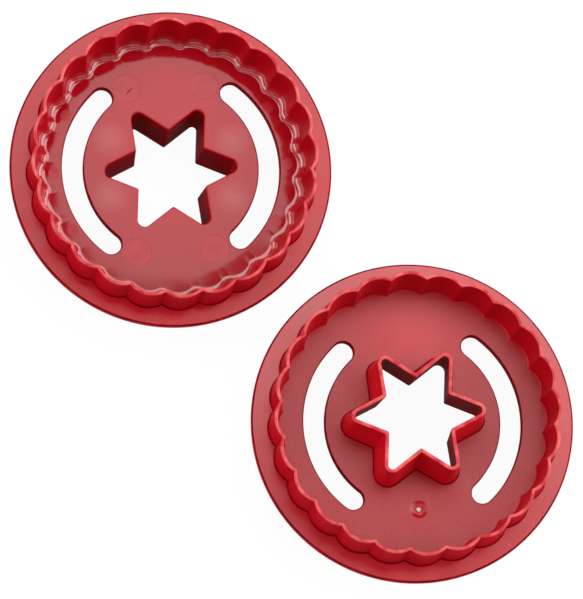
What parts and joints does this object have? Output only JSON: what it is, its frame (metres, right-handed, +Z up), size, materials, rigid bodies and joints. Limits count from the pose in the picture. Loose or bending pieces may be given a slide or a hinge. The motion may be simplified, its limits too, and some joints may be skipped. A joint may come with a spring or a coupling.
{
  "type": "linzer cookie cutter",
  "caption": "Round double-sided cookie cutters in red plastic: scalloped walls on both faces of a flanged web, a star-shaped inner cutter on one side and curved finger slots.",
  "frame": {"origin": "middle of the pair's box, on the table that both cutters rest on", "axes": "+Z up along both cutters' axes, +X to the right and +Y away from the viewer"},
  "size_m": [0.1496, 0.1543, 0.03],
  "materials": {
    "red_plastic": "satin moulded polypropylene, smooth walls and a finely textured star face"
  },
  "bodies": {
    "star_cutter": {"cutter_star_side_up": "red_plastic"},
    "plain_cutter": {"cutter_plain_side_up": "red_plastic"}
  },
  "joints": [
    {"name": "plain_cutter_lift", "type": "slide", "parent": "star_cutter", "child": "plain_cutter", "axis": [0, 0, 1], "range_m": [0, 0.08]}
  ]
}
